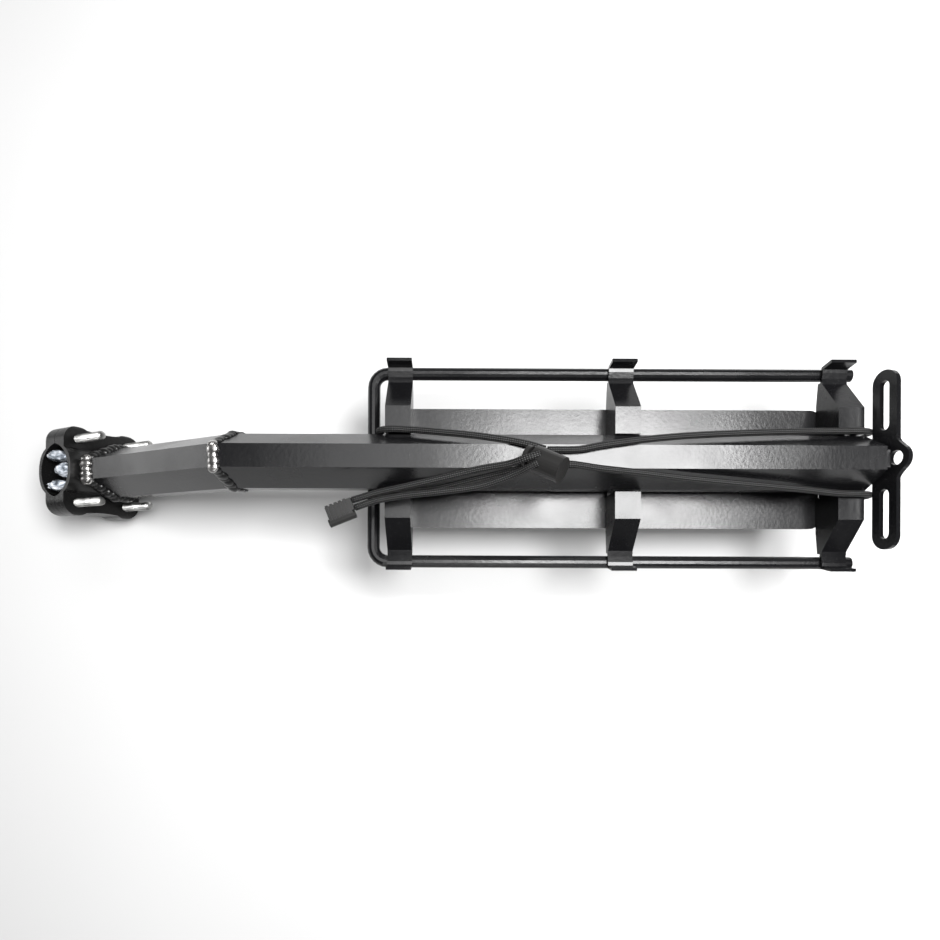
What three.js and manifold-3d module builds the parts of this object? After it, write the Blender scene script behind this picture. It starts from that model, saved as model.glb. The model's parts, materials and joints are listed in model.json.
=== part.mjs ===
// Bicycle seat-post cargo rack: a bent beam with a four-bolt clamp at its front, a deck of
// plate and side rail held by three cross brackets, a light bracket at the tail and an
// elastic cord with a spring lock.
// Millimetres. Origin: the middle of the clamp's bore. +X runs back along the deck, and +Z
// comes out of the rack's underside, so the rack lies deck down.
import * as THREE from "three";
import { mergeVertices } from "three/addons/utils/BufferGeometryUtils.js";
import Module from "manifold-3d";

const wasm = await Module();
wasm.setup();

// ---- Driving dimensions -------------------------------------------------------------
const GAP = 0.3; // clearance between pieces that touch
const BEND_ANGLE = THREE.MathUtils.degToRad(28); // front tube against the deck
const FRONT_LENGTH = 135.4; // bore middle to the bend, on the centre line
const BEAM_END_X = 501.7;
const BEAM_HEIGHT = 39.5;
const BEAM_FACET = 6.8; // half width of the narrow top facet
const BEAM_HALF_WIDTH = 16.5;
const BEAM_BASE = 9; // half width of the face towards the deck
const BEAM_WALL = 2.2;

const BORE_RADIUS = 18; // each half's arc
const BORE_OFFSET = 3; // how far past the parting plane each arc is centred
const CLAMP_WALL = 2.8;
const CLAMP_HALF_HEIGHT = 27.5;
const EAR_THICKNESS = 10;
const EAR_HALF_WIDTH = 30;
const LOBE_RADIUS = 10;
const BOLT_Y = 21.4;
const BOLT_Z = 17.5;
const BOLT_RADIUS = 3; // M6
const BOLT_HOLE_RADIUS = 3.3;
const BOLT_TAIL = 26; // thread standing out behind the clamp
const BOLT_HEAD_RADIUS = 5;
const BOLT_HEAD_LENGTH = 6;
const WASHER_RADIUS = 6;
const WASHER_THICKNESS = 1.2;

const ROD_RADIUS = 4;
const RAIL_HALF_WIDTH = 60.1;
const RAIL_FRONT_X = 201.7;
const RAIL_REAR_X = 507;
const RAIL_BEND = 9;

const BRACKET_X = [219, 358.6, 493.8];
const BRACKET_NAMES = ["front", "middle", "rear"];
const BRACKET_WIDTH = 15.6;
const STRAP = 2; // thickness of the bracket sheet
const SHELF_INNER = 17.6;
const SHELF_OUTER = 34;
const SHELF_RISE = 27.5; // shelf face above the deck plane
const LIP_RISE = 20;
const WEB_FLOOR = 2.8;

const PLATE_HALF_WIDTH = 38.2;
const PLATE_THICKNESS = 2.5;
const PLATE_FRONT_X = 211;
const PLATE_REAR_X = 488;

const TAIL_TILT = THREE.MathUtils.degToRad(14); // back from upright
const TAIL_LENGTH = 105;
const TAIL_WIDTH = 16;
const TAIL_THICKNESS = 3;
const SLOT_LENGTH = 29;
const SLOT_WIDTH = 6.2;
const SLOT_SPACING = 63.5;
const TAIL_X = 505.8;
const TAIL_RISE = 40.9; // middle of the tail plate above the deck plane
const LAMP_HOLE_RADIUS = 4.25;
const LAMP_HOLE_OFFSET = 7.7;
const LAMP_TAB_RADIUS = 7.9;

const CORD_RADIUS = 2;
const LOCK_RADIUS = 7.5;
const LOCK_LENGTH = 18;
const LOCK_CENTRE = [305, -7.2, 98.8];
const LOCK_YAW = THREE.MathUtils.degToRad(-28);
const LOCK_RISE = THREE.MathUtils.degToRad(25); // its closed end stands higher
const BUTTON_GAP = 2.8;

// ---- Places worked out from them ----------------------------------------------------
const SLOPE = Math.tan(BEND_ANGLE / 2); // lean of the mitre between the two tubes
const BEND_X = FRONT_LENGTH * Math.cos(BEND_ANGLE);
const BEAM_Z = FRONT_LENGTH * Math.sin(BEND_ANGLE);
const BEAM_TOP = BEAM_Z + BEAM_HEIGHT / 2;
const BEAM_BOTTOM = BEAM_Z - BEAM_HEIGHT / 2;
const DECK_Z = BEAM_BOTTOM - 8.5; // plane that the rail's deck side lies in
const ROD_Z = DECK_Z + ROD_RADIUS;
const CLAMP_BACK = BORE_RADIUS - BORE_OFFSET + CLAMP_WALL;

// ---- Materials ----------------------------------------------------------------------
const finish = (color, roughness, metalness) =>
  new THREE.MeshStandardMaterial({ color, roughness, metalness });
const blackPaint = finish(0x17181a, 0.32, 0.4);
const castBlack = finish(0x1b1b1c, 0.45, 0.4);
const bareWeld = finish(0x8c8c8a, 0.35, 0.9);
const steel = finish(0xc9c9cb, 0.28, 0.95);
const rubber = finish(0x101011, 0.8, 0);
const film = finish(0xc4ccd4, 0.2, 0.3);
const plastic = finish(0x3c3b3a, 0.5, 0);
const cord = finish(0x2a2a29, 0.75, 0);

// ---- Helpers ------------------------------------------------------------------------
const rack = new THREE.Group();
const clampFrame = new THREE.Group(); // +X back along the front tube, +Z along the bore
clampFrame.rotation.y = -BEND_ANGLE;
rack.add(clampFrame);

function place(name, geometry, material, parent = rack) {
  const mesh = new THREE.Mesh(geometry, material);
  mesh.name = name;
  parent.add(mesh);
  return mesh;
}

function solid(geometry) {
  const bare = geometry.index ? geometry.toNonIndexed() : geometry.clone();
  bare.deleteAttribute("normal");
  bare.deleteAttribute("uv");
  const merged = mergeVertices(bare, 1e-4);
  return new wasm.Manifold(
    new wasm.Mesh({
      numProp: 3,
      vertProperties: new Float32Array(merged.attributes.position.array),
      triVerts: new Uint32Array(merged.index.array),
    }),
  );
}

function toGeometry(body) {
  const mesh = body.getMesh();
  const geometry = new THREE.BufferGeometry();
  geometry.setAttribute("position", new THREE.BufferAttribute(mesh.vertProperties, 3));
  geometry.setIndex(new THREE.BufferAttribute(mesh.triVerts, 1));
  return geometry;
}

const join = (first, ...rest) =>
  toGeometry(rest.reduce((sum, g) => sum.add(solid(g)), solid(first)));
const cut = (first, ...rest) =>
  toGeometry(rest.reduce((left, g) => left.subtract(solid(g)), solid(first)));
const overlap = (first, second) => toGeometry(solid(first).intersect(solid(second)));

const box = (x, y, z, sx, sy, sz) => new THREE.BoxGeometry(sx, sy, sz).translate(x, y, z);

// A round bar from x = from to x = to.
const barAlongX = (radius, from, to, y = 0, z = 0, sides = 20) =>
  new THREE.CylinderGeometry(radius, radius, to - from, sides)
    .rotateZ(-Math.PI / 2)
    .translate((from + to) / 2, y, z);

// An outline in Y and Z, extruded along X.
const alongX = (shape, from, to, curveSegments = 8) =>
  new THREE.ExtrudeGeometry(shape, { depth: to - from, bevelEnabled: false, curveSegments })
    .applyMatrix4(new THREE.Matrix4().set(0, 0, 1, from, 1, 0, 0, 0, 0, 1, 0, 0, 0, 0, 0, 1));

// An outline in X and Y, extruded along Z.
const alongZ = (shape, from, to, curveSegments = 8) =>
  new THREE.ExtrudeGeometry(shape, { depth: to - from, bevelEnabled: false, curveSegments })
    .translate(0, 0, from);

const outline = (points) => new THREE.Shape(points.map(([a, b]) => new THREE.Vector2(a, b)));
const mirrored = (points) => [...points.map(([a, b]) => [-a, b]), ...[...points].reverse()];

// Leans one end of an X extrusion, so that it ends on a plane tilted about Y.
function leanEnd(geometry, x, slope, middle) {
  const position = geometry.attributes.position;
  for (let i = 0; i < position.count; i += 1) {
    if (Math.abs(position.getX(i) - x) < 0.01) {
      position.setX(i, x + slope * (position.getZ(i) - middle));
    }
  }
  return geometry;
}

function roundTube(points, radius, sides, steps) {
  const path = new THREE.CatmullRomCurve3(points.map((p) => new THREE.Vector3(...p)), false);
  const ring = new THREE.Shape();
  for (let i = 0; i < sides; i += 1) {
    const angle = (2 * Math.PI * i) / sides;
    const method = i === 0 ? "moveTo" : "lineTo";
    ring[method](radius * Math.cos(angle), radius * Math.sin(angle));
  }
  return new THREE.ExtrudeGeometry(ring, { steps, extrudePath: path, bevelEnabled: false });
}

// ---- Beam ---------------------------------------------------------------------------
// Half of the section, grown outwards by a margin, from the top facet down.
function beamSection(margin = 0) {
  const top = BEAM_HEIGHT / 2 + margin;
  const chamfer = margin * 0.7;
  return outline(
    mirrored([
      [BEAM_FACET + chamfer, top],
      [BEAM_HALF_WIDTH + margin, -0.25],
      [BEAM_HALF_WIDTH + margin, -10.25],
      [BEAM_BASE + chamfer, -top],
    ]),
  );
}

function hollowSection() {
  const section = beamSection();
  section.holes.push(beamSection(-BEAM_WALL));
  return section;
}

function mainBeam() {
  const tube = alongX(hollowSection(), BEND_X + GAP, BEAM_END_X).translate(0, 0, BEAM_Z);
  return leanEnd(tube, BEND_X + GAP, -SLOPE, BEAM_Z);
}

function frontTube() {
  const tube = alongX(hollowSection(), CLAMP_BACK + GAP, FRONT_LENGTH - GAP);
  return leanEnd(tube, FRONT_LENGTH - GAP, SLOPE, 0);
}

// A weld bead round the outside of the section, from x = from to x = to.
function bead(from, to, height) {
  const ring = beamSection(height);
  ring.holes.push(beamSection(GAP));
  return alongX(ring, from, to);
}

// The bead stands on both tubes, and is cut clear of each of them.
function mitreWeld() {
  const ring = alongX(beamSection(2.2), BEND_X - 3, BEND_X + 3);
  leanEnd(ring, BEND_X - 3, -SLOPE, 0);
  leanEnd(ring, BEND_X + 3, -SLOPE, 0);
  const back = alongX(beamSection(GAP), BEND_X - 20, BEND_X + 20).translate(0, 0, BEAM_Z);
  const front = alongX(beamSection(GAP), FRONT_LENGTH - 20, FRONT_LENGTH + 20)
    .rotateY(-BEND_ANGLE);
  return cut(ring.translate(0, 0, BEAM_Z), back, front);
}

place("main_beam", mainBeam(), blackPaint);
place("front_tube", frontTube(), blackPaint, clampFrame);
place("mitre_weld", mitreWeld(), bareWeld);
place("clamp_weld", bead(CLAMP_BACK + GAP, CLAMP_BACK + 5, 3), bareWeld, clampFrame);

// ---- Seat-post clamp ----------------------------------------------------------------
// Seen along the bore: straight ears at the parting plane and a bulged back.
function clampPlan() {
  const plan = new THREE.Shape();
  plan.moveTo(GAP / 2, -EAR_HALF_WIDTH);
  plan.lineTo(EAR_THICKNESS - 3, -EAR_HALF_WIDTH);
  plan.quadraticCurveTo(EAR_THICKNESS, -EAR_HALF_WIDTH, EAR_THICKNESS, -EAR_HALF_WIDTH + 3);
  plan.lineTo(EAR_THICKNESS, -15);
  plan.quadraticCurveTo(CLAMP_BACK, -11, CLAMP_BACK, 0);
  plan.quadraticCurveTo(CLAMP_BACK, 11, EAR_THICKNESS, 15);
  plan.lineTo(EAR_THICKNESS, EAR_HALF_WIDTH - 3);
  plan.quadraticCurveTo(EAR_THICKNESS, EAR_HALF_WIDTH, EAR_THICKNESS - 3, EAR_HALF_WIDTH);
  plan.lineTo(GAP / 2, EAR_HALF_WIDTH);
  return plan;
}

// Seen along the bolts: four round lobes with a waist between the two on each side.
function clampFace() {
  const side = EAR_HALF_WIDTH - LOBE_RADIUS;
  const lift = CLAMP_HALF_HEIGHT - LOBE_RADIUS;
  const waist = EAR_HALF_WIDTH - 3.5;
  const face = new THREE.Shape();
  face.moveTo(-side, -CLAMP_HALF_HEIGHT);
  face.lineTo(side, -CLAMP_HALF_HEIGHT);
  face.absarc(side, -lift, LOBE_RADIUS, -Math.PI / 2, Math.PI / 5, false);
  face.quadraticCurveTo(waist, 0, side + LOBE_RADIUS * Math.cos(Math.PI / 5),
    lift - LOBE_RADIUS * Math.sin(Math.PI / 5));
  face.absarc(side, lift, LOBE_RADIUS, -Math.PI / 5, Math.PI / 2, false);
  face.lineTo(-side, CLAMP_HALF_HEIGHT);
  face.absarc(-side, lift, LOBE_RADIUS, Math.PI / 2, (6 * Math.PI) / 5, false);
  face.quadraticCurveTo(-waist, 0, -side - LOBE_RADIUS * Math.cos(Math.PI / 5),
    -lift + LOBE_RADIUS * Math.sin(Math.PI / 5));
  face.absarc(-side, -lift, LOBE_RADIUS, (4 * Math.PI) / 5, (3 * Math.PI) / 2, false);
  return face;
}

const boltPlaces = [];
for (const z of [BOLT_Z, -BOLT_Z]) {
  for (const y of [BOLT_Y, -BOLT_Y]) {
    boltPlaces.push([y, z]);
  }
}

// The half behind the parting plane; the jaw is the same shape turned round.
function clampHalf() {
  const plan = alongZ(clampPlan(), -CLAMP_HALF_HEIGHT - 1, CLAMP_HALF_HEIGHT + 1, 6);
  const face = alongX(clampFace(), -1, CLAMP_BACK + 1, 7);
  const bore = new THREE.CylinderGeometry(BORE_RADIUS, BORE_RADIUS, 60, 40)
    .rotateX(Math.PI / 2)
    .translate(-BORE_OFFSET, 0, 0);
  const holes = boltPlaces.map(([y, z]) => barAlongX(BOLT_HOLE_RADIUS, -2, 30, y, z, 14));
  return cut(overlap(plan, face), bore, ...holes);
}

// A rubber liner that follows one half's arc, below the packets in the mouth.
function liner() {
  const inner = BORE_RADIUS - GAP - 1.6;
  const reach = 1.2;
  const ring = new THREE.Shape();
  ring.absarc(-BORE_OFFSET, 0, BORE_RADIUS - GAP, -reach, reach, false);
  ring.absarc(-BORE_OFFSET, 0, inner, reach, -reach, true);
  return alongZ(ring, -25, 13, 16);
}

// A spare shim in its crumpled film: a rounded lump against the bore's wall.
const filmLump = (x, y, z, rx, ry, rz) =>
  new THREE.SphereGeometry(1, 14, 9).scale(rx, ry, rz).translate(x, y, z);

place("clamp_back_half", clampHalf(), castBlack, clampFrame);
place("clamp_jaw", clampHalf().rotateZ(Math.PI), castBlack, clampFrame);
place("liner_back", liner(), rubber, clampFrame);
place("liner_front", liner().rotateZ(Math.PI), rubber, clampFrame);
place("film_shim_upper", filmLump(-1.5, 10, 22.5, 9.6, 4.5, 7.5), film, clampFrame);
place("film_shim_middle", filmLump(6, 0, 22.5, 8, 5.2, 7.5), film, clampFrame);
place("film_shim_lower", filmLump(-1.5, -10, 22.5, 9.6, 4.5, 7.5), film, clampFrame);

// A socket-head bolt, its head in front of the jaw and its thread out behind.
function clampBolt() {
  const seat = -EAR_THICKNESS - GAP - WASHER_THICKNESS - GAP;
  const head = barAlongX(BOLT_HEAD_RADIUS, seat - BOLT_HEAD_LENGTH, seat, 0, 0, 20);
  const shank = barAlongX(BOLT_RADIUS, seat - 1, EAR_THICKNESS + BOLT_TAIL, 0, 0, 14);
  const socket = barAlongX(2.9, seat - BOLT_HEAD_LENGTH - 1, seat - 2.5, 0, 0, 6);
  return cut(join(head, shank), socket);
}

function washer() {
  const ring = new THREE.Shape();
  ring.absarc(0, 0, WASHER_RADIUS, 0, 2 * Math.PI, false);
  const hole = new THREE.Path();
  hole.absarc(0, 0, BOLT_HOLE_RADIUS, 0, 2 * Math.PI, true);
  ring.holes.push(hole);
  const back = -EAR_THICKNESS - GAP;
  return alongX(ring, back - WASHER_THICKNESS, back, 10);
}

boltPlaces.forEach(([y, z], i) => {
  place(`clamp_bolt_${i + 1}`, clampBolt().translate(0, y, z), steel, clampFrame);
  place(`clamp_washer_${i + 1}`, washer().translate(0, y, z), steel, clampFrame);
});

// ---- Side rail ----------------------------------------------------------------------
// One round rod, bent into a U that is open at the tail.
function sideRail() {
  const bend = [];
  for (let i = 0; i <= 6; i += 1) {
    const angle = (Math.PI / 2) * (i / 6);
    bend.push([
      RAIL_FRONT_X + RAIL_BEND * (1 - Math.sin(angle)),
      RAIL_HALF_WIDTH - RAIL_BEND * (1 - Math.cos(angle)),
      ROD_Z,
    ]);
  }
  const side = [[RAIL_REAR_X, RAIL_HALF_WIDTH, ROD_Z], ...bend];
  const other = side.map(([x, y, z]) => [x, -y, z]).reverse();
  return bentRod([...side, ...other], ROD_RADIUS, 14);
}

// A rod through straight stretches and bends in one level plane, a ring at each point.
function bentRod(stops, radius, sides) {
  const centres = stops.map((p) => new THREE.Vector3(...p));
  const rings = [];
  centres.forEach((centre, i) => {
    const before = centres[Math.max(i - 1, 0)];
    const after = centres[Math.min(i + 1, centres.length - 1)];
    const along = after.clone().sub(before).normalize();
    const across = new THREE.Vector3(-along.y, along.x, 0);
    for (let k = 0; k < sides; k += 1) {
      const angle = (2 * Math.PI * k) / sides;
      const point = centre.clone().addScaledVector(across, radius * Math.cos(angle));
      point.z += radius * Math.sin(angle);
      rings.push(point);
    }
  });
  const faces = [];
  const last = (centres.length - 1) * sides;
  for (let i = 0; i < last; i += sides) {
    for (let k = 0; k < sides; k += 1) {
      const a = i + k;
      const b = i + ((k + 1) % sides);
      faces.push(a, b, a + sides, b, b + sides, a + sides);
    }
  }
  for (let k = 1; k < sides - 1; k += 1) {
    faces.push(0, k + 1, k, last, last + k, last + k + 1);
  }
  const geometry = new THREE.BufferGeometry().setFromPoints(rings);
  geometry.setIndex(faces);
  return geometry;
}

place("side_rail", sideRail(), blackPaint);

// ---- Cross brackets -----------------------------------------------------------------
// Heights here are above the deck plane, and each path runs from -Y to +Y.
const crossPath = (half) => [...half.map(([y, z]) => [-y, z]).reverse(), ...half];

// A sheet of even thickness whose upper face follows a path.
function strip(path, thickness) {
  const under = path.map(([y, z], i) => {
    const [y0, z0] = path[Math.max(i - 1, 0)];
    const [y1, z1] = path[Math.min(i + 1, path.length - 1)];
    const first = new THREE.Vector2(z - z0, y0 - y);
    const second = new THREE.Vector2(z1 - z, y - y1);
    const start = first.lengthSq() > 0 ? first.normalize() : second.clone().normalize();
    const end = second.lengthSq() > 0 ? second.normalize() : start.clone();
    const mitre = start.clone().add(end).normalize();
    const reach = thickness / mitre.dot(start);
    return [y + mitre.x * reach, z + mitre.y * reach];
  });
  return outline([...under, ...[...path].reverse()]);
}

function bracket(x) {
  const under = 8.2; // upper face of the part that runs beneath the beam
  const half = [
    [SHELF_INNER, under],
    [SHELF_INNER, SHELF_RISE],
    [SHELF_OUTER, SHELF_RISE],
    [53, 9.9],
    [56.5, 9.4],
    [60.1, 10.4],
    [62.2, 10.6],
    [63.6, LIP_RISE],
  ];
  const front = x - BRACKET_WIDTH / 2;
  const rear = x + BRACKET_WIDTH / 2;
  const sheet = alongX(strip(crossPath(half), STRAP), front, rear);
  const web = [
    [SHELF_INNER + 1, WEB_FLOOR],
    [40, WEB_FLOOR],
    [54.5, 4.8],
    [54.5, 8],
    [SHELF_OUTER, SHELF_RISE - 1.2],
    [SHELF_INNER + 1, SHELF_RISE - 1.2],
  ];
  const other = web.map(([y, z]) => [-y, z]);
  const webs = [web, other].flatMap((side) => [
    alongX(outline(side), front, front + STRAP),
    alongX(outline(side), rear - STRAP, rear),
  ]);
  return join(sheet, ...webs).translate(0, 0, DECK_Z);
}

BRACKET_NAMES.forEach((which, i) => {
  place(`bracket_${which}`, bracket(BRACKET_X[i]), blackPaint);
});

// ---- Deck plate ---------------------------------------------------------------------
function deckPlate() {
  const corner = 6;
  const shape = new THREE.Shape();
  const w = PLATE_HALF_WIDTH;
  shape.moveTo(PLATE_FRONT_X + corner, -w);
  shape.lineTo(PLATE_REAR_X - corner, -w);
  shape.quadraticCurveTo(PLATE_REAR_X, -w, PLATE_REAR_X, -w + corner);
  shape.lineTo(PLATE_REAR_X, w - corner);
  shape.quadraticCurveTo(PLATE_REAR_X, w, PLATE_REAR_X - corner, w);
  shape.lineTo(PLATE_FRONT_X + corner, w);
  shape.quadraticCurveTo(PLATE_FRONT_X, w, PLATE_FRONT_X, w - corner);
  shape.lineTo(PLATE_FRONT_X, -w + corner);
  shape.quadraticCurveTo(PLATE_FRONT_X, -w, PLATE_FRONT_X + corner, -w);
  return alongZ(shape, DECK_Z, DECK_Z + PLATE_THICKNESS, 5);
}

place("deck_plate", deckPlate(), blackPaint);

// ---- Tail plate ---------------------------------------------------------------------
// Drawn flat, with Y across and Z up the plate, then tipped back and carried to the tail.
function tailPlate() {
  const h = TAIL_WIDTH / 2;
  const w = TAIL_LENGTH / 2;
  const shape = new THREE.Shape();
  shape.absarc(w - h, 0, h, -Math.PI / 2, Math.PI / 2, false);
  shape.absarc(h - w, 0, h, Math.PI / 2, (3 * Math.PI) / 2, false);
  for (const side of [-1, 1]) {
    const slot = new THREE.Path();
    const reach = (SLOT_LENGTH - SLOT_WIDTH) / 2;
    const middle = (side * SLOT_SPACING) / 2;
    slot.absarc(middle + reach, 0, SLOT_WIDTH / 2, -Math.PI / 2, Math.PI / 2, false);
    slot.absarc(middle - reach, 0, SLOT_WIDTH / 2, Math.PI / 2, (3 * Math.PI) / 2, false);
    shape.holes.push(slot);
  }
  const plate = alongX(shape, -TAIL_THICKNESS / 2, TAIL_THICKNESS / 2, 6);
  const tab = barAlongX(LAMP_TAB_RADIUS, -TAIL_THICKNESS / 2, TAIL_THICKNESS / 2, 0,
    LAMP_HOLE_OFFSET, 28);
  const fillets = outline([[-13, h - 1], [13, h - 1], [9.6, h + 1], [6.9, LAMP_HOLE_OFFSET + 4],
    [-6.9, LAMP_HOLE_OFFSET + 4], [-9.6, h + 1]]);
  const shoulder = alongX(fillets, -TAIL_THICKNESS / 2, TAIL_THICKNESS / 2);
  const hole = barAlongX(LAMP_HOLE_RADIUS, -5, 5, 0, LAMP_HOLE_OFFSET, 20);
  return cut(join(plate, tab, shoulder), hole)
    .rotateY(TAIL_TILT)
    .translate(TAIL_X, 0, DECK_Z + TAIL_RISE);
}

// A plug in the beam's open end, whose face leans with the tail plate.
function beamPlug() {
  const end = TAIL_X - TAIL_THICKNESS / 2 / Math.cos(TAIL_TILT) - GAP;
  const plug = alongX(beamSection(-BEAM_WALL - GAP), BEAM_END_X - 14, end)
    .translate(0, 0, BEAM_Z);
  return leanEnd(plug, end, Math.tan(TAIL_TILT), DECK_Z + TAIL_RISE);
}

place("tail_plate", tailPlate(), blackPaint);
place("beam_end_plug", beamPlug(), blackPaint);

// ---- Elastic cord -------------------------------------------------------------------
// Heights are above the deck plane. Each loop passes beneath the beam at its own end.
const lifted = (points) => points.map(([x, y, z]) => [x, y, z + DECK_Z]);

function roundTheBeam(x) {
  const half = [[18.9, 27], [18.9, 17], [15.6, 9.5], [9, 5.9]];
  return [
    ...half.map(([y, z]) => [x, y, z]),
    [x, 0, 5.9],
    ...half.map(([y, z]) => [x, -y, z]).reverse(),
  ];
}

const rearLoop = lifted([
  [306.5, 3.2, 50.6], [325, 3.6, 50.8], [337, 5.8, 51], [360, 9.2, 49.8],
  [391, 13.4, 42.4], [448, 17.6, 34], [484, 18.8, 31.4], [499, 18.9, 31],
  ...roundTheBeam(505.2),
  [499, -18.9, 31], [484, -18.6, 31.6], [458, -16.6, 35.6], [390, -12.2, 45],
  [360, -9.6, 49.8], [337, -7.4, 51], [319, -4.9, 50.8], [308.5, -5.2, 50.6],
]);
const frontLoop = lifted([
  [305, 3.6, 50.6], [294, 6.6, 50.9], [268.4, 11.8, 45.8], [245, 15.8, 37.6],
  [226, 18.4, 32], [213.5, 18.9, 31],
  ...roundTheBeam(208),
  [213.5, -18.9, 31], [226, -18.2, 32], [240, -17.4, 34], [268.5, -12.2, 44.4],
  [290, -7.8, 50.4], [299, -5.8, 50.8], [307, -5.2, 50.6],
]);
const tails = [
  lifted([[300.1, -2.1, 67], [296.5, -3.2, 67.4], [291, -4.8, 65.8], [284, -6.6, 61.5],
    [268.3, -8.6, 55.6],
    [245, -13.4, 50], [222, -18, 45], [208, -20.8, 42.2], [193.7, -24.9, 40.6]]),
  lifted([[299.3, -6.7, 67.6], [295, -8.6, 65], [288, -11.6, 59.5], [268.3, -17.6, 51.5],
    [245, -20.6, 47.6], [222, -22.8, 43.6], [208, -25.2, 41.6], [195.4, -29.2, 40.6]]),
];

const cordTube = (points, steps, grow = 0) => roundTube(points, CORD_RADIUS + grow, 8, steps);

place("elastic_loop_rear", cordTube(rearLoop, 80), cord);
place("elastic_loop_front", cordTube(frontLoop, 70), cord);
place("cord_tail_1", cordTube(tails[0], 16), cord);
place("cord_tail_2", cordTube(tails[1], 16), cord);

// ---- Cord lock ----------------------------------------------------------------------
const lockFrame = new THREE.Group(); // +X along the barrel, away from the button
lockFrame.position.set(...LOCK_CENTRE);
lockFrame.rotation.set(0, -LOCK_RISE, LOCK_YAW, "ZYX");
rack.add(lockFrame);
lockFrame.updateMatrixWorld(true);

const BARREL_BORE = 5.2;
const BORE_FLOOR = 4;

function lockBarrel() {
  const half = LOCK_LENGTH / 2;
  const barrel = barAlongX(LOCK_RADIUS, -half, half, 0, 0, 28);
  const bore = barAlongX(BARREL_BORE, -half - 1, BORE_FLOOR, 0, 0, 20);
  const cords = [
    cordTube(rearLoop, 80, 0.35),
    cordTube(frontLoop, 70, 0.35),
    cordTube(tails[0], 16, 0.35),
    cordTube(tails[1], 16, 0.35),
  ];
  const intoLock = lockFrame.matrixWorld.clone().invert();
  return cut(barrel, bore, ...cords.map((tube) => tube.applyMatrix4(intoLock)));
}

function lockButton() {
  const face = -LOCK_LENGTH / 2 - BUTTON_GAP;
  const disc = barAlongX(6.1, face - 2.4, face, 0, 0, 24);
  const stem = barAlongX(3.8, face - 1, -5.4, 0, 0, 18);
  return join(disc, stem);
}

function lockSpring() {
  const turns = 3;
  const points = [];
  for (let i = 0; i <= turns * 10; i += 1) {
    const angle = (2 * Math.PI * i) / 10;
    const x = -2.2 + (5.4 * i) / (turns * 10);
    points.push([x, 3.4 * Math.cos(angle), 3.4 * Math.sin(angle)]);
  }
  return roundTube(points, 0.45, 5, turns * 10);
}

place("lock_barrel", lockBarrel(), plastic, lockFrame);
place("lock_button", lockButton(), plastic, lockFrame);
place("lock_spring", lockSpring(), steel, lockFrame);

// ---- Cord end -----------------------------------------------------------------------
// A flat grip with ribs across it and a plain round bar down one side. Both tails run into
// the neck beside the bar.
function cordEnd() {
  const parts = [box(0, 0.9, 0, 14.5, 8.6, 5), box(6.2, 1.9, 0, 4.8, 7.4, 4.2)];
  for (let i = 0; i < 5; i += 1) {
    parts.push(box(4.8 - i * 2.7, 1.6, 0, 1.5, 8.8, 6.4));
  }
  return join(...parts, barAlongX(2.5, -8.2, 8.2, -4.2, 0, 16));
}

const grip = place("cord_end", cordEnd(), plastic);
grip.position.set(186.6, -31.9, DECK_Z + 40.4);
grip.rotation.z = THREE.MathUtils.degToRad(22);

export default rack;
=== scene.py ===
"""A bicycle seat-post rack, lying deck down, on a pale studio floor.

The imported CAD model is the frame. Most parts keep their CAD shape and get bevels and
materials. Bolts, welds, film packets and cords are replaced by finer pieces.
"""
import json
import math
import random

import bpy
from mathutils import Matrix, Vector, noise


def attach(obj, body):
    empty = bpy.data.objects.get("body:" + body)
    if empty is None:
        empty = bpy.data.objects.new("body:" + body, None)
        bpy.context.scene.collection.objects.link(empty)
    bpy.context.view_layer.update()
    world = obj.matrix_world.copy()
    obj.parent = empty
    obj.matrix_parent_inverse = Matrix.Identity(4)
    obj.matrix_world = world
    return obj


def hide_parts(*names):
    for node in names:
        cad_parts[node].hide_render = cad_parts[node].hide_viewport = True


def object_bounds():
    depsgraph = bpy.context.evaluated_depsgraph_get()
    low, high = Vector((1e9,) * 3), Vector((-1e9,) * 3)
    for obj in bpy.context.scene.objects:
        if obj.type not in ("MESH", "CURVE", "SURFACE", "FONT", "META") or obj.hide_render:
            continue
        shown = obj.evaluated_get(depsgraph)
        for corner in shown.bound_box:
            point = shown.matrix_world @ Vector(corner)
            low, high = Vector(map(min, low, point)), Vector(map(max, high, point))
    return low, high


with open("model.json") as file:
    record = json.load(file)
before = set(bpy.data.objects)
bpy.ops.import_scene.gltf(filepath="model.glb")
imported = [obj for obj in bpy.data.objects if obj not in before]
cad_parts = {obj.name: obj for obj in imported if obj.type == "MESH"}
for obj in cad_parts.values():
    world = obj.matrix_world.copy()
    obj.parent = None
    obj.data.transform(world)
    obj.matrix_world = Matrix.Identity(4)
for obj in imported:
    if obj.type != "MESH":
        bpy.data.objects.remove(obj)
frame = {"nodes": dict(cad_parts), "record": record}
CAD_BOX = [list(corner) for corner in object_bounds()]
MM = 0.001
nodes = frame["nodes"]
joints = {j["name"]: j for j in frame["record"]["behaviour"]["joints"]}

# ---- Camera -------------------------------------------------------------------------
CAMERA_PLACE = (0.254, -0.0653, 0.4503)
CAMERA_ROLL = math.radians(0.25)
LENS = 24.51
SENSOR_WIDTH = 36
SHIFT_X, SHIFT_Y = 0.016, 0.106
camera_data = bpy.data.cameras.new("camera")
camera_data.lens = LENS
camera_data.sensor_width = SENSOR_WIDTH
camera_data.shift_x = SHIFT_X
camera_data.shift_y = SHIFT_Y
camera_data.clip_start = 0.01
camera = bpy.data.objects.new("camera", camera_data)
camera.location = CAMERA_PLACE
camera.rotation_euler = (0, 0, CAMERA_ROLL)
bpy.context.collection.objects.link(camera)
bpy.context.scene.camera = camera

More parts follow.
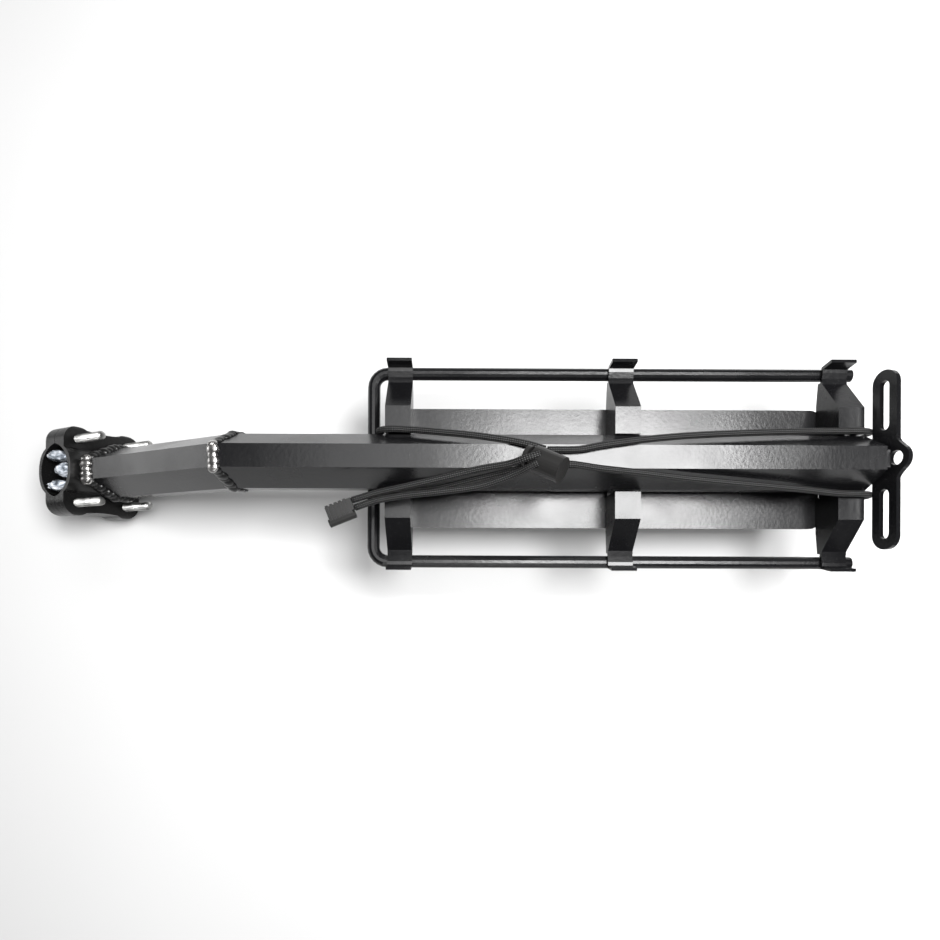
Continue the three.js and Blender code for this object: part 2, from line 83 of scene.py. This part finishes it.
# ---- Places shared with the CAD model (metres) --------------------------------------
BEND = math.radians(28)
FRONT_LENGTH = 0.1354
BEAM_HEIGHT = 0.0395
BEAM_Z = FRONT_LENGTH * math.sin(BEND)
BEND_X = FRONT_LENGTH * math.cos(BEND)
DECK_Z = BEAM_Z - BEAM_HEIGHT / 2 - 0.0085
CLAMP_BACK = 0.0178
ALONG_TUBE = Vector((math.cos(BEND), 0, math.sin(BEND)))
ALONG_BORE = Vector((-math.sin(BEND), 0, math.cos(BEND)))
CORD_RADIUS = 0.002


# ---- Shader helpers -----------------------------------------------------------------
class Shader:
    """A principled material built up a layer at a time."""

    def __init__(self, name, color, roughness, metallic=0.0, coat=0.0):
        self.material = bpy.data.materials.new(name)
        self.material.use_nodes = True
        self.tree = self.material.node_tree
        self.base = self.tree.nodes["Principled BSDF"]
        self.base.inputs["Base Color"].default_value = (*color, 1)
        self.base.inputs["Roughness"].default_value = roughness
        self.base.inputs["Metallic"].default_value = metallic
        self.base.inputs["Coat Weight"].default_value = coat
        self.base.inputs["Coat Roughness"].default_value = 0.12
        self.place = self.tree.nodes.new("ShaderNodeTexCoord").outputs["Object"]
        self.last_bump = None

    def add(self, kind, **values):
        node = self.tree.nodes.new(kind)
        for key, value in values.items():
            if key in node.inputs:
                node.inputs[key].default_value = value
            else:
                setattr(node, key, value)
        return node

    def link(self, source, target):
        self.tree.links.new(source, target)

    def noise(self, scale, detail=3.0, place=None):
        node = self.add("ShaderNodeTexNoise", Scale=scale, Detail=detail)
        self.link(place or self.place, node.inputs["Vector"])
        return node.outputs["Fac"]

    def bump(self, height, strength, distance):
        node = self.add("ShaderNodeBump", Strength=strength, Distance=distance)
        self.link(height, node.inputs["Height"])
        if self.last_bump:
            self.link(self.last_bump, node.inputs["Normal"])
        self.last_bump = node.outputs["Normal"]
        self.link(self.last_bump, self.base.inputs["Normal"])

    def ramp(self, value, stops, socket):
        node = self.add("ShaderNodeValToRGB")
        band = node.color_ramp
        while len(band.elements) < len(stops):
            band.elements.new(0.5)
        for element, (at, color) in zip(band.elements, stops):
            element.position = at
            element.color = (*color, 1) if len(color) == 3 else color
        self.link(value, node.inputs["Fac"])
        self.link(node.outputs["Color"], self.base.inputs[socket])
        return node.outputs["Color"]


def grey(v):
    return (v, v, v)


def powder_coat(name, color, roughness, peel):
    """Black paint with a fine orange peel, uneven gloss and pale dust specks."""
    m = Shader(name, color, roughness)
    m.bump(m.noise(1100, 2), 0.10 * peel, 0.0002)
    m.bump(m.noise(420, 2), 0.11 * peel, 0.0005)
    m.base.inputs["Specular IOR Level"].default_value = 0.28
    low, high = roughness * 0.8, roughness * 1.25
    m.ramp(m.noise(28, 4), [(0.35, grey(low)), (0.7, grey(high))], "Roughness")
    dust = [(0.72, color), (0.80, tuple(min(1, c * 4 + 0.03) for c in color))]
    m.ramp(m.noise(1500, 1), dust, "Base Color")
    return m.material


def bright_metal(name, color, roughness, grain):
    m = Shader(name, color, roughness, metallic=1.0)
    m.bump(m.noise(grain, 4), 0.12, 0.0002)
    m.ramp(m.noise(260, 4), [(0.3, grey(roughness * 0.7)), (0.75, grey(roughness * 1.6))],
           "Roughness")
    dark = tuple(c * 0.55 for c in color)
    m.ramp(m.noise(120, 5), [(0.36, dark), (0.55, color)], "Base Color")
    return m.material


def moulded_plastic(name, color, roughness):
    m = Shader(name, color, roughness)
    m.base.inputs["Specular IOR Level"].default_value = 0.22
    m.bump(m.noise(2400, 3), 0.22, 0.00015)
    m.ramp(m.noise(60, 4), [(0.3, tuple(c * 0.8 for c in color)), (0.7, color)], "Base Color")
    return m.material


def crumpled_film(name):
    m = Shader(name, (0.72, 0.76, 0.8), 0.16, metallic=0.25, coat=0.8)
    m.bump(m.noise(420, 5), 0.5, 0.0006)
    tones = [(0.36, (0.06, 0.07, 0.085)), (0.5, (0.28, 0.31, 0.35)), (0.64, (0.85, 0.88, 0.93))]
    m.ramp(m.noise(230, 5), tones, "Base Color")
    return m.material


YARNS_ROUND = 5
YARN_SPACING = 0.0026


def braided_cord(name):
    """Crossing yarns from the piece's own UV map: U runs along it, V round it."""
    m = Shader(name, (0.03, 0.03, 0.03), 0.62)
    m.base.inputs["Specular IOR Level"].default_value = 0.16
    uv = m.add("ShaderNodeUVMap", uv_map="UVMap").outputs["UV"]
    split = m.add("ShaderNodeSeparateXYZ")
    m.link(uv, split.inputs[0])

    def wave(sign):
        turn = m.add("ShaderNodeMath", operation="MULTIPLY_ADD")
        turn.inputs[1].default_value = sign * YARNS_ROUND * math.tau
        m.link(split.outputs["Y"], turn.inputs[0])
        run = m.add("ShaderNodeMath", operation="MULTIPLY")
        run.inputs[1].default_value = math.tau / YARN_SPACING
        m.link(split.outputs["X"], run.inputs[0])
        m.link(run.outputs[0], turn.inputs[2])
        sine = m.add("ShaderNodeMath", operation="SINE")
        m.link(turn.outputs[0], sine.inputs[0])
        return sine.outputs[0]

    weave = m.add("ShaderNodeMath", operation="MULTIPLY")
    m.link(wave(1), weave.inputs[0])
    m.link(wave(-1), weave.inputs[1])
    m.bump(weave.outputs[0], 0.55, 0.0003)
    m.bump(m.noise(5000, 2), 0.2, 0.0001)
    m.ramp(weave.outputs[0], [(0.05, grey(0.004)), (0.5, grey(0.011)), (0.9, grey(0.085))],
           "Base Color")
    return m.material


PAINT = powder_coat("black powder coat", (0.004, 0.004, 0.0045), 0.24, 1.0)
CAST = powder_coat("black cast clamp", (0.004, 0.004, 0.004), 0.32, 2.2)
ZINC = bright_metal("bright zinc", (0.46, 0.46, 0.45), 0.34, 1800)
# Bright metal for the weld's top-facet ripples only: a painted highlight standing in for the
# top light's glints on a weld that is black paint all over.
TOP_WELD_HIGHLIGHT = bright_metal("top weld painted highlight", (0.50, 0.49, 0.48), 0.26, 500)
DARK_WELD = powder_coat("painted weld", (0.006, 0.006, 0.006), 0.3, 1.5)
LINER = moulded_plastic("rubber liner", (0.02, 0.02, 0.02), 0.7)
PLASTIC = moulded_plastic("dark grey plastic", (0.012, 0.0118, 0.0115), 0.38)
FILM = crumpled_film("crumpled film")
CORD = braided_cord("braided cord")


# ---- Pieces that keep their CAD shape -----------------------------------------------
def dress(name, material, bevel=0.0, segments=3):
    obj = nodes[name]
    obj.data.materials.clear()
    obj.data.materials.append(material)
    if bevel:
        modifier = obj.modifiers.new("rounded edges", "BEVEL")
        modifier.width = bevel
        modifier.segments = segments
        modifier.limit_method = "ANGLE"
        modifier.angle_limit = math.radians(25)
        modifier.harden_normals = False


for name in ("main_beam", "front_tube"):
    dress(name, PAINT, 0.0008)
for name in ("bracket_front", "bracket_middle", "bracket_rear"):
    dress(name, PAINT, 0.0005, 2)
dress("deck_plate", PAINT, 0.0009)
dress("side_rail", PAINT)
dress("tail_plate", PAINT, 0.0006)
dress("beam_end_plug", PAINT, 0.0005)
dress("clamp_back_half", CAST, 0.0009)
dress("clamp_jaw", CAST, 0.0009)
dress("liner_back", LINER)
dress("liner_front", LINER)
dress("lock_barrel", PLASTIC, 0.0004)
dress("lock_button", PLASTIC, 0.0005)
dress("lock_spring", ZINC)
for i in range(1, 5):
    dress(f"clamp_washer_{i}", ZINC, 0.0001, 1)
for name in ("side_rail", "lock_spring", "liner_back", "liner_front"):
    nodes[name].data.shade_smooth()
    nodes[name].data.set_sharp_from_angle(angle=math.radians(50))
for name in ("clamp_back_half", "clamp_jaw", "lock_barrel", "lock_button", "tail_plate",
             "cord_end", "deck_plate"):
    nodes[name].data.shade_smooth()
    nodes[name].data.set_sharp_from_angle(angle=math.radians(35))


# ---- Mesh helpers -------------------------------------------------------------------
def make_mesh(name, vertices, faces, material, smooth=True):
    mesh = bpy.data.meshes.new(name)
    mesh.from_pydata([tuple(v) for v in vertices], [], faces)
    mesh.materials.append(material)
    if smooth:
        mesh.shade_smooth()
    mesh.update()
    obj = bpy.data.objects.new(name, mesh)
    bpy.context.collection.objects.link(obj)
    return obj


def ring_faces(rings, sides):
    """Quads between rings of points, with both ends closed."""
    faces = []
    for i in range(rings - 1):
        for k in range(sides):
            a, b = i * sides + k, i * sides + (k + 1) % sides
            faces.append((a, b, b + sides, a + sides))
    faces.append(tuple(reversed(range(sides))))
    faces.append(tuple((rings - 1) * sides + k for k in range(sides)))
    return faces


def blob(vertices, faces, centre, axes, rings=7, sides=12):
    """Adds a ball, stretched along three axes, to lists of vertices and faces."""
    first = len(vertices)
    for i in range(1, rings):
        polar = math.pi * i / rings
        for k in range(sides):
            turn = math.tau * k / sides
            vertices.append(centre + axes[0] * math.sin(polar) * math.cos(turn)
                            + axes[1] * math.sin(polar) * math.sin(turn)
                            + axes[2] * math.cos(polar))
    for i in range(rings - 2):
        for k in range(sides):
            a, b = first + i * sides + k, first + i * sides + (k + 1) % sides
            faces.append((a, a + sides, b + sides, b))
    top, bottom = len(vertices), len(vertices) + 1
    vertices += [centre + axes[2], centre - axes[2]]
    last = first + (rings - 2) * sides
    for k in range(sides):
        faces.append((top, first + k, first + (k + 1) % sides))
        faces.append((bottom, last + (k + 1) % sides, last + k))


# ---- Bolts --------------------------------------------------------------------------
def clamp_bolt(name, joint, body):
    """A socket-head bolt with a real helical thread, along the front tube."""
    pitch, depth, radius, sides = 0.001, 0.00055, 0.003, 20
    seat, tail, head = -0.0118, 0.036, 0.006
    thread_start = -0.002
    across = Vector((0, 1, 0))
    start = Vector(joint["pos_m"])
    profile = [(seat - head, 0.0044), (seat - head + 0.0006, 0.005), (seat, 0.005),
               (seat, radius), (thread_start, radius)]
    steps = int((tail - thread_start) / pitch * 8)
    vertices = []

    def ring(at, size):
        for k in range(sides):
            turn = math.tau * k / sides
            r = size(turn) if callable(size) else size
            vertices.append(start + ALONG_TUBE * at
                            + (across * math.cos(turn) + ALONG_BORE * math.sin(turn)) * r)

    for at, r in ((seat - head + 0.003, 0.0001), (seat - head + 0.003, 0.0025),
                  (seat - head, 0.0027)):
        ring(at, r)
    for at, r in profile:
        ring(at, r)
    for i in range(1, steps + 1):
        at = thread_start + i * pitch / 8
        end_taper = max(0.0, 1 - (tail - at) / 0.0012) * 0.0009

        def thread(turn, at=at, end_taper=end_taper):
            phase = (at / pitch - turn / math.tau) % 1
            return radius - depth * abs(2 * phase - 1) - end_taper

        ring(at, thread)
    bolt = make_mesh(name + "_threaded", vertices,
                     ring_faces(len(vertices) // sides, sides), ZINC)
    bolt.data.set_sharp_from_angle(angle=math.radians(35))
    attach(bolt, body)
    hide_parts(name)


for i in range(1, 5):
    clamp_bolt(f"clamp_bolt_{i}", joints[f"bolt_{i}_turn"], f"clamp_bolt_{i}")

# ---- Welds --------------------------------------------------------------------------
SECTION = [(0.0068, 0.01975), (0.0165, -0.00025), (0.0165, -0.01025), (0.009, -0.01975)]


RIPPLE_STEP = 0.0032
RIPPLE_REACH = (0.0034, 0.0042)  # half the length of one ripple, along the seam
RIPPLE_DRIFT = 0.0004
TOP_FACET_Z = 0.0185
TOP_FACET_HALF_WIDTH = 0.0085


def section_walk(step):
    """Points and outward directions round the beam's section, from facet to facet."""
    outline = SECTION + [(-y, z) for y, z in reversed(SECTION)]
    for i, a in enumerate(outline):
        b = outline[(i + 1) % len(outline)]
        run = Vector((b[0] - a[0], b[1] - a[1]))
        count = max(1, round(run.length / step))
        out = Vector((-run.y, run.x)).normalized()
        if out.dot(Vector(a) + run / 2) < 0:
            out = -out
        for k in range(count):
            yield Vector(a) + run * (k / count), out


def weld(name, centre, up, along, width, height):
    """A row of overlapping ripples: bright metal on the top facet as a painted highlight of the
    top light on the weld, and black paint elsewhere.
    """
    rng = random.Random(4)
    across = Vector((0, 1, 0))
    parts = {True: ([], []), False: ([], [])}
    for point, out in section_walk(RIPPLE_STEP):
        is_top = point.y > TOP_FACET_Z and abs(point.x) < TOP_FACET_HALF_WIDTH
        vertices, faces = parts[is_top]
        normal = across * out.x + up * out.y
        side = normal.cross(along).normalized()
        lift = height * (0.85 + 0.3 * rng.random())
        wide = width * (0.85 + 0.3 * rng.random())
        drift = along * rng.uniform(-1, 1) * RIPPLE_DRIFT
        place = centre + across * point.x + up * point.y + drift
        reach = rng.uniform(*RIPPLE_REACH)
        blob(vertices, faces, place, (along * wide, side * reach, normal * lift), 9, 18)
    for is_top, (vertices, faces) in parts.items():
        if vertices:
            # The top facet's ripples get bright metal as a painted highlight; the other ripples
            # carry the weld's black paint.
            finish = TOP_WELD_HIGHLIGHT if is_top else DARK_WELD
            label = name + ("_bright" if is_top else "_painted")
            piece = make_mesh(label, vertices, faces, finish)
            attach(piece, "frame")
    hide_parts(name)


weld("mitre_weld", Vector((BEND_X, 0, BEAM_Z)),
     Vector((-math.tan(BEND / 2), 0, 1)), Vector((1, 0, math.tan(BEND / 2))).normalized(),
     0.0034, 0.0016)
weld("clamp_weld", ALONG_TUBE * (CLAMP_BACK + 0.0046), ALONG_BORE, ALONG_TUBE,
     0.005, 0.0032)


# ---- Film shims ---------------------------------------------------------------------
# Each packet's middle along the tube, across and along the bore, and its half sizes.
PACKETS = {
    "upper": ((-1.5, 10, 22.5), (9.6, 4.5, 7.5)),
    "middle": ((6, 0, 22.5), (8, 5.2, 7.5)),
    "lower": ((-1.5, -10, 22.5), (9.6, 4.5, 7.5)),
}


CREASE_SCALE = 1.9
CREASE_DEPTH = 0.30
CRUMPLE = 0.16


def film_shim(name, centre, half, seed):
    """A crumpled packet: flat facets and creases pulled out of a ball."""
    rng = random.Random(seed)
    axes = (ALONG_TUBE, Vector((0, 1, 0)), ALONG_BORE)
    vertices, faces = [], []
    blob(vertices, faces, Vector((0, 0, 0)),
         (Vector((1, 0, 0)), Vector((0, 1, 0)), Vector((0, 0, 1))), 9, 13)
    shaped = []
    for v in vertices:
        crease = abs(noise.noise(v * CREASE_SCALE + Vector((seed * 7.3, 0, 0))))
        size = min(1.0, 1.06 - crease * CREASE_DEPTH - rng.uniform(0, CRUMPLE))
        local = [(c + h * x * size) * MM for c, h, x in zip(centre, half, v)]
        shaped.append(sum((axis * x for axis, x in zip(axes, local)), Vector()))
    film = make_mesh(name + "_crumpled", shaped, faces, FILM, smooth=False)
    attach(film, "frame")
    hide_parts(name)


for seed, (which, (centre, half)) in enumerate(PACKETS.items(), 1):
    film_shim(f"film_shim_{which}", centre, half, seed)


# ---- Cords --------------------------------------------------------------------------
def smooth_path(points, spacing):
    """Catmull-Rom through the points, in steps of about one spacing."""
    points = [Vector(p) * MM + Vector((0, 0, DECK_Z)) for p in points]
    path = []
    for i in range(len(points) - 1):
        p0, p1 = points[max(i - 1, 0)], points[i]
        p2, p3 = points[i + 1], points[min(i + 2, len(points) - 1)]
        knots = [0.0]
        for a, b in ((p0, p1), (p1, p2), (p2, p3)):
            knots.append(knots[-1] + max((b - a).length, 1e-9) ** 0.5)
        t0, t1, t2, t3 = knots
        if i == 0:
            p0, t0 = p1 * 2 - p2, t1 - (t2 - t1)
        if i == len(points) - 2:
            p3, t3 = p2 * 2 - p1, t2 + (t2 - t1)
        count = max(2, round((p2 - p1).length / spacing))
        for k in range(count):
            t = t1 + (t2 - t1) * k / count
            a1 = p0 * ((t1 - t) / (t1 - t0)) + p1 * ((t - t0) / (t1 - t0))
            a2 = p1 * ((t2 - t) / (t2 - t1)) + p2 * ((t - t1) / (t2 - t1))
            a3 = p2 * ((t3 - t) / (t3 - t2)) + p3 * ((t - t2) / (t3 - t2))
            b1 = a1 * ((t2 - t) / (t2 - t0)) + a2 * ((t - t0) / (t2 - t0))
            b2 = a2 * ((t3 - t) / (t3 - t1)) + a3 * ((t - t1) / (t3 - t1))
            path.append(b1 * ((t2 - t) / (t2 - t1)) + b2 * ((t - t1) / (t2 - t1)))
    path.append(points[-1])
    return path


def braided_tube(name, path, radius, sides=16):
    """A tube with U in metres along it and V from 0 to 1 round it."""
    vertices, distances, walked = [], [], 0.0
    normal = None
    for i, point in enumerate(path):
        ahead = path[min(i + 1, len(path) - 1)] - path[max(i - 1, 0)]
        tangent = ahead.normalized()
        if normal is None:
            normal = tangent.orthogonal().normalized()
        normal = (normal - tangent * normal.dot(tangent)).normalized()
        other = tangent.cross(normal)
        if i:
            walked += (point - path[i - 1]).length
        distances.append(walked)
        for k in range(sides):
            turn = math.tau * k / sides
            vertices.append(point + (normal * math.cos(turn) + other * math.sin(turn)) * radius)
    tube = make_mesh(name, vertices, ring_faces(len(path), sides), CORD)
    layer = tube.data.uv_layers.new(name="UVMap")
    for face in tube.data.polygons:
        corners = [tube.data.loops[i].vertex_index for i in face.loop_indices]
        turns = [v % sides for v in corners]
        wraps = max(turns) - min(turns) > sides // 2
        for loop, vertex, turn in zip(face.loop_indices, corners, turns):
            v = turn + (sides if wraps and turn < sides // 2 else 0)
            layer.data[loop].uv = (distances[vertex // sides], v / sides)
    return tube, walked


def add_cord(node, points):
    path = smooth_path(points, 0.0018)
    tube, length = braided_tube(node + "_braid", path, CORD_RADIUS)
    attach(tube, "frame")
    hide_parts(node)
    print("cord", node, round(length, 4))


HALF_TURN = [(18.9, 27), (18.9, 17), (15.6, 9.5), (9, 5.9)]


def round_the_beam(x):
    left = [(x, y, z) for y, z in HALF_TURN]
    right = [(x, -y, z) for y, z in reversed(HALF_TURN)]
    return left + [(x, 0, 5.9)] + right


REAR_LOOP = [(306.5, 3.2, 50.6), (325, 3.6, 50.8), (337, 5.8, 51), (360, 9.2, 49.8),
             (391, 13.4, 42.4), (448, 17.6, 34), (484, 18.8, 31.4), (499, 18.9, 31),
             *round_the_beam(505.2),
             (499, -18.9, 31), (484, -18.6, 31.6), (458, -16.6, 35.6), (390, -12.2, 45),
             (360, -9.6, 49.8), (337, -7.4, 51), (319, -4.9, 50.8), (308.5, -5.2, 50.6)]
FRONT_LOOP = [(305, 3.6, 50.6), (294, 6.6, 50.9), (268.4, 11.8, 45.8), (245, 15.8, 37.6),
              (226, 18.4, 32), (213.5, 18.9, 31),
              *round_the_beam(208),
              (213.5, -18.9, 31), (226, -18.2, 32), (240, -17.4, 34), (268.5, -12.2, 44.4),
              (290, -7.8, 50.4), (299, -5.8, 50.8), (307, -5.2, 50.6)]
TAIL_1 = [(300.1, -2.1, 67), (296.5, -3.2, 67.4), (291, -4.8, 65.8), (284, -6.6, 61.5),
          (268.3, -8.6, 55.6), (245, -13.4, 50), (222, -18, 45), (208, -20.8, 42.2),
          (193.7, -24.9, 40.6)]
TAIL_2 = [(299.3, -6.7, 67.6), (295, -8.6, 65), (288, -11.6, 59.5), (268.3, -17.6, 51.5),
          (245, -20.6, 47.6), (222, -22.8, 43.6), (208, -25.2, 41.6), (195.4, -29.2, 40.6)]
add_cord("elastic_loop_rear", REAR_LOOP)
add_cord("elastic_loop_front", FRONT_LOOP)
dress("cord_end", PLASTIC, 0.0007)
add_cord("cord_tail_1", TAIL_1)
add_cord("cord_tail_2", TAIL_2)

# ---- Studio -------------------------------------------------------------------------
low, high = (Vector(corner) for corner in CAD_BOX)
FLOOR_GAP = 0.0006
FLOOR_REACH = 6.0
bpy.ops.mesh.primitive_plane_add(size=FLOOR_REACH, location=(0.25, 0, low.z - FLOOR_GAP))
floor = bpy.context.object
floor.name = "floor"
FLOOR_TONES = (0.52, 0.54)
pale = Shader("pale floor", grey(0.6), 0.9)
pale.ramp(pale.noise(3, 2), list(zip((0.3, 0.7), map(grey, FLOOR_TONES))), "Base Color")
floor.data.materials.append(pale.material)

WORLD_STRENGTH = 0.12
world = bpy.data.worlds.new("world")
bpy.context.scene.world = world
world.use_nodes = True
world.node_tree.nodes["Background"].inputs["Color"].default_value = (1, 1, 1, 1)
world.node_tree.nodes["Background"].inputs["Strength"].default_value = WORLD_STRENGTH


def softbox(name, place, target, size, power):
    light = bpy.data.lights.new(name, "AREA")
    light.shape = "RECTANGLE"
    light.size, light.size_y = size
    light.energy = power
    obj = bpy.data.objects.new(name, light)
    obj.location = place
    obj.rotation_euler = (Vector(target) - Vector(place)).to_track_quat("-Z", "Y").to_euler()
    bpy.context.collection.objects.link(obj)


# Name, place, target, size and power.
LIGHTS = [
    ("top box", (0.55, 0.10, 0.9), (0.55, 0.10, 0), (0.46, 0.34), 19),
    ("top spill", (0.42, 0.10, 0.95), (0.42, 0.10, 0), (0.95, 0.5), 6),
    ("front box", (-1.3, 0.26, 0.33), (0.06, 0, 0.05), (0.5, 0.4), 3),
    ("near fill", (0.25, -1.5, 1.5), (0.25, 0, 0), (1.2, 0.5), 9),
    ("far fill", (0.25, 1.5, 1.5), (0.25, 0, 0), (1.2, 0.5), 9),
]
for light in LIGHTS:
    softbox(*light)

bpy.context.scene.view_settings.view_transform = "Standard"
